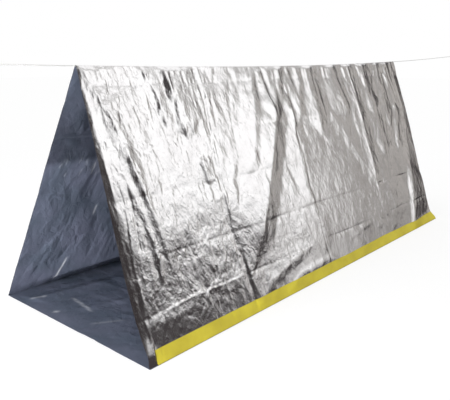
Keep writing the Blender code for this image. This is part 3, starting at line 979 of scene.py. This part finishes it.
def crown_film():
    """The film over the line: the right skirt, the round crown and the left skirt, as a grid of points."""
    y = right_film[:, -1, 1]
    right_slope, _, _ = side_line(1, y)
    left_slope, _, _ = side_line(-1, y)
    centre_z = line_z(y)
    arc = []
    for step in range(1, CROWN_STEPS):
        turn = right_slope + (math.pi - left_slope - right_slope) * step / CROWN_STEPS
        arc.append(np.stack([RIDGE_X + CROWN_RADIUS * np.cos(turn), y,
                             centre_z + CROWN_RADIUS * np.sin(turn)], axis=-1))
    arc = np.stack(arc, axis=1)
    return np.concatenate([right_film[:, WALL_ROWS - 1:], arc, left_film[:, :WALL_ROWS - 2:-1]], axis=1)


ridge = film_piece("film_ridge", crown_film(), (0, 0, 1), (silver, slate), SHELL)
fit(ridge, "ridge", "ridge_fold")
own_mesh(ridge)

# Film, floor
# The tube's bottom lies flat on the ground with its slate side up. It keeps the same packing creases and
# a few soft wrinkles, and a fold runs along it beside the left wall. Pale streaks on that fold and on other
# wrinkles are painted highlights.
FLOOR_CELL = 0.0085
FLOOR_FOLDS = metres((
    (((20, 120), (450, 200), (1000, 160)), 50, 70, 7),
    (((500, 660), (1100, 730), (1600, 640)), 80, 60, 6),
    (((1500, 200), (1900, 260), (2340, 180)), 70, 80, 7),
    (((100, 340), (320, 420), (600, 400)), 30, 40, 4),
))
FLOOR_PLEATS = (19, 60, (0, 50), (2400, 850), 1.0, (80, 350), (10, 24), (0.8, 2.2))
FLOOR_ROWS = (0.30, 0.60)
FLOOR_COLUMN_CREASE = (0.020, 0.0022)
FLOOR_ROW_CREASE = (0.018, 0.0018)
FLOOR_CRUMPLE = 0.35
FLOOR_SEED = 60
FLOOR_EDGE_FADE = 0.060
# Painted highlights on the floor's wrinkles: a path as (along, across from the left), half the width and how
# pale
FLOOR_HIGHLIGHTS = (
    (((0.036, 0.108), (0.100, 0.140)), 0.008, 0.35),
    (((0.036, 0.285), (0.050, 0.305)), 0.008, 0.45),
    (((0.165, 0.215), (0.150, 0.315), (0.134, 0.410)), 0.005, 0.36),
    (((0.060, 0.480), (0.180, 0.560)), 0.006, 0.15),
)
TAPE = 0.0006


def floor_film():
    """The floor's film as a grid of points, from its left crease to its right one."""
    places = np.linspace(0.0, TUBE_LENGTH, round(TUBE_LENGTH / FLOOR_CELL))
    share = np.linspace(0.0, 1.0, round(2 * HALF_FLOOR / FLOOR_CELL))
    along, across = np.meshgrid(places, share, indexing="ij")
    half = half_width(FRONT_Y + along)
    from_left = 2 * half * across
    lift = np.zeros(along.shape)
    for each in FLOOR_FOLDS:
        lift += np.abs(fold(along, from_left, *each))
    for column in PACKING_COLUMNS:
        lift -= crease(along - column, *FLOOR_COLUMN_CREASE)
    for row in FLOOR_ROWS:
        lift -= crease(from_left - row, *FLOOR_ROW_CREASE)
    lift += np.abs(pleats(along, from_left, *FLOOR_PLEATS))
    edge = rise(from_left, 0.0, FLOOR_EDGE_FADE) * fall(from_left, 2 * half, FLOOR_EDGE_FADE)
    lift = crumpled(along, from_left, lift * edge, FLOOR_CRUMPLE * edge, FLOOR_SEED)
    lift = np.maximum(lift, 0.0) + SHELL + TAPE + SEAT_GAP
    return np.stack([from_left - half + SHELL * 0.5, FRONT_Y + along, lift], axis=-1), along, from_left


# Painted shade: the floor's slate is a darker copy of the walls' slate, darkened for the shade it lies in
slate_with_painted_shade = film_material("slate_film_floor", (0.104, 0.116, 0.160), (0.076, 0.092, 0.126),
                            roughness=0.40, metallic=0.0, wear=0.08, facets=SLATE_FACETS)
floor_points, floor_along, floor_across = floor_film()
floor = film_piece("film_floor", floor_points, (0, 0, 1), (slate_with_painted_shade, silver), SHELL,
                   (FLOOR_HIGHLIGHTS, floor_along, floor_across))
fit(floor, "film_tube", "floor_sheet")

# Seam tape
# A strip of yellow self-adhesive tape closes the tube along its right bottom crease. It is folded round
# the crease, up the wall's outer face and in under the floor.
TAPE_UP_WALL = 0.048
TAPE_UNDER_FLOOR = 0.022
TAPE_FRONT_INSET = 0.036
TAPE_REAR_INSET = 0.002
TAPE_ROWS = 10
TAPE_STANDS_OFF = 0.0006
# The wandering of its upper edge, and where that begins
TAPE_WAVES = ((0.0015, 8.0, 0.5), (0.0008, 23.0, 0.0))
TAPE_WAVERS = (1.0, 0.4)
TAPE_YELLOW = (0.575, 0.490, 0.032)
TAPE_DULL = (0.475, 0.395, 0.026)
# Scale and detail of its changes in tone, the part of them that shows, and the scale of its press marks
TAPE_TONE = (9.0, 4.0)
TAPE_TONE_ENDS = (0.35, 0.62)
TAPE_MARKS_SCALE = 120.0


def tape_film():
    """The tape's outer face as a grid of points: under the floor, round the crease and up the wall."""
    inside = (columns >= TAPE_FRONT_INSET) & (columns <= TUBE_LENGTH - TAPE_REAR_INSET)
    places = np.concatenate([[TAPE_FRONT_INSET], columns[inside], [TUBE_LENGTH - TAPE_REAR_INSET]])
    rows = np.linspace(0.0, TAPE_UP_WALL, TAPE_ROWS + 1)
    along, up = np.meshgrid(places, rows, indexing="ij")
    rises = waver(along, TAPE_WAVES) / TAPE_UP_WALL * rise(along, *TAPE_WAVERS)
    up = up * (1 + rises)
    lift = crumpled(along, up, right_heights(along, up), right_strength(along, up), RIGHT_SEED)
    wall = hang(1, along, up, lift + TAPE_STANDS_OFF + TAPE)
    wall[:, 0, 2] = 0.0
    under = [wall[:, 0] - np.array((inwards, 0.0, 0.0))
             for inwards in (TAPE_UNDER_FLOOR, TAPE_UNDER_FLOOR / 2)]
    return np.concatenate([np.stack(under, axis=1), wall], axis=1)


def tape_material():
    """Yellow plastic tape: satin, a little uneven in tone, with small press marks and wear marks."""
    made, tree, shader = principled("yellow_tape", TAPE_YELLOW, roughness=0.50, specular=0.3)
    place = add(tree, "ShaderNodeTexCoord").outputs["Object"]
    tone = fade(tree, noise(tree, place, *TAPE_TONE), *TAPE_TONE_ENDS, how="LINEAR")
    marks = noise(tree, place, TAPE_MARKS_SCALE)
    fill(tree, shader, {"Base Color": blend(tree, tone, TAPE_DULL, TAPE_YELLOW),
                        "Normal": raised(tree, marks, strength=0.6, distance=0.0005)})
    return made


tape = film_piece("tape_seam", tape_film(), (1, 0, -0.3), (tape_material(),), TAPE)
fit(tape, "film_tube", "seam_tape")

# Studio
# A plain white floor under a white sky. A tall card on each side, out of the camera's sight, fades from
# white to grey and to dark at its ends and foot, to give the metallised film something to mirror.
CARD_PLANE = 2.2
CARD_FRONT = -4.5
CARD_REAR = 9.0
CARD_HEIGHT = 5.0
CARD_WHITE = (1.19, 1.19, 1.19)
CARD_LOW = (0.600, 0.585, 0.575)
CARD_GREY = (0.300, 0.286, 0.271)
CARD_DARK = (0.041, 0.035, 0.036)
CARD_FAR = (0.582, 0.553, 0.522)
CARD_REAR_DARK = (0.234, 0.220, 0.208)
CARD_TOP = (0.50, 0.49, 0.48)
# Heights between which the card turns from its foot's colour to white, in front and further back
FRONT_FOOT = (0.20, 1.80)
MIDDLE_FOOT = (0.27, 1.35)
MIDDLE_FROM = (1.2, 1.75)
# Where it turns to its next colours, further and further back
REAR_COLOURS = ((2.55, 3.30, CARD_GREY), (4.8, 5.4, CARD_FAR), (7.0, 8.6, CARD_REAR_DARK))
# Where its dark front part starts to end, and two heights with where it has ended there
FRONT_DARK_TO = -1.1
FRONT_DARK_ENDS = (0.50, 1.60, 0.9, 0.0)
TOP_FROM = (2.95, 3.9)
CLOUD_SCALE = 1.6
CLOUD_ENDS = (0.38, 0.62)
CLOUD_DARKEST = 0.86


def stage_plane(name, corners, finish, mirrored_only=True):
    """A flat piece of the set through four corners. Only glossy surfaces see it where it is mirrored only."""
    mesh = bpy.data.meshes.new(name)
    mesh.from_pydata(corners, [], [(0, 1, 2, 3)])
    mesh.materials.append(finish)
    made = placed(name, mesh)
    if mirrored_only:
        made.visible_camera = made.visible_diffuse = made.visible_shadow = False


def upright(x_from, y_from, x_to, y_to, height):
    """The corners of a card that stands on the floor between two places."""
    return [(x_from, y_from, 0), (x_to, y_to, 0), (x_to, y_to, height), (x_from, y_from, height)]


def level(x, y_from, y_to, z):
    """The corners of a sheet that lies level, as far out on the left as on the right."""
    return [(-x, y_from, z), (x, y_from, z), (x, y_to, z), (-x, y_to, z)]


def card_material():
    """The card's shade: white above and grey towards its rear, dark at its foot and both its ends."""
    made = bpy.data.materials.new("card")
    made.use_nodes = True
    tree = made.node_tree
    tree.nodes.remove(tree.nodes["Principled BSDF"])
    place = add(tree, "ShaderNodeTexCoord").outputs["Object"]
    at = add(tree, "ShaderNodeSeparateXYZ", {"Vector": place}).outputs
    y, z = at["Y"], at["Z"]
    front = blend(tree, fade(tree, z, *FRONT_FOOT), CARD_DARK, CARD_WHITE)
    middle = blend(tree, fade(tree, z, *MIDDLE_FOOT), CARD_LOW, CARD_WHITE)
    shade = blend(tree, fade(tree, y, *MIDDLE_FROM), front, middle)
    for start, end, colour in REAR_COLOURS:
        shade = blend(tree, fade(tree, y, start, end), shade, colour)
    dark_end = fade(tree, z, *FRONT_DARK_ENDS)
    shade = blend(tree, fade(tree, y, FRONT_DARK_TO, dark_end), CARD_DARK, shade)
    shade = blend(tree, fade(tree, z, *TOP_FROM), shade, CARD_TOP)
    clouds = fade(tree, noise(tree, place, CLOUD_SCALE), *CLOUD_ENDS, CLOUD_DARKEST, 1.0)
    glow = add(tree, "ShaderNodeEmission", {"Color": blend(tree, 1.0, shade, clouds, "MULTIPLY")})
    fill(tree, tree.nodes["Material Output"], {"Surface": glow})
    return made


FRONT_CARD_HEIGHT = 2.6
LOW_CARD_Z = 0.0005

shaded_card = card_material()
dark_card, _, _ = principled("dark_card", CARD_DARK, roughness=1.0, specular=0.0)
for side, x in (("right", CARD_PLANE), ("left", -CARD_PLANE)):
    stage_plane("card_" + side, upright(x, CARD_FRONT, x, CARD_REAR, CARD_HEIGHT), shaded_card)
# Painted reflection: a dark sheet over the whole floor that only mirrored rays see, so the film mirrors shade
# where the camera sees white floor
stage_plane("card_low", level(CARD_PLANE, CARD_FRONT, CARD_REAR, LOW_CARD_Z), dark_card)
for end, y, height in (("front", CARD_FRONT, FRONT_CARD_HEIGHT), ("rear", CARD_REAR, CARD_HEIGHT)):
    stage_plane("card_" + end, upright(-CARD_PLANE, y, CARD_PLANE, y, height), dark_card)

LAMP_AIM = (-0.35, -0.60, 0.55)

lamp_data = bpy.data.lights.new("soft_lamp", "AREA")
lamp_data.energy = 96.0
lamp_data.size = 1.2
lamp = placed("soft_lamp", lamp_data)
lamp.location = (0.25, -3.00, 0.45)
lamp.rotation_euler = (Vector(LAMP_AIM) - lamp.location).to_track_quat("-Z", "Y").to_euler()
lamp.visible_glossy = False

GROUND_HALF = 40.0
GROUND_Z = -0.001
SHADOW_SHARE = 0.30


def floor_material():
    """White floor: mostly its own white where it is looked at or mirrored, and a share for the shadow."""
    made, tree, shader = principled("white_floor", (0.97, 0.97, 0.97), roughness=0.9, specular=0.0)
    ray = add(tree, "ShaderNodeLightPath").outputs
    seen = maths(tree, "MAXIMUM", ray["Is Camera Ray"], ray["Is Glossy Ray"])
    seen = maths(tree, "MAXIMUM", seen, ray["Is Transmission Ray"])
    share = maths(tree, "MULTIPLY", seen, 1 - SHADOW_SHARE)
    mixed = add(tree, "ShaderNodeMixShader", {"Fac": share, 1: shader, 2: add(tree, "ShaderNodeEmission")})
    fill(tree, tree.nodes["Material Output"], {"Surface": mixed})
    return made


stage_plane("ground", level(GROUND_HALF, -GROUND_HALF, GROUND_HALF, GROUND_Z), floor_material(),
            mirrored_only=False)

world = bpy.data.worlds.new("white_sky")
world.use_nodes = True
fill(world.node_tree, world.node_tree.nodes["Background"], {"Color": (1.0, 1.0, 1.0, 1.0), "Strength": 1.0})
bpy.context.scene.world = world
bpy.context.scene.view_settings.view_transform = "Standard"
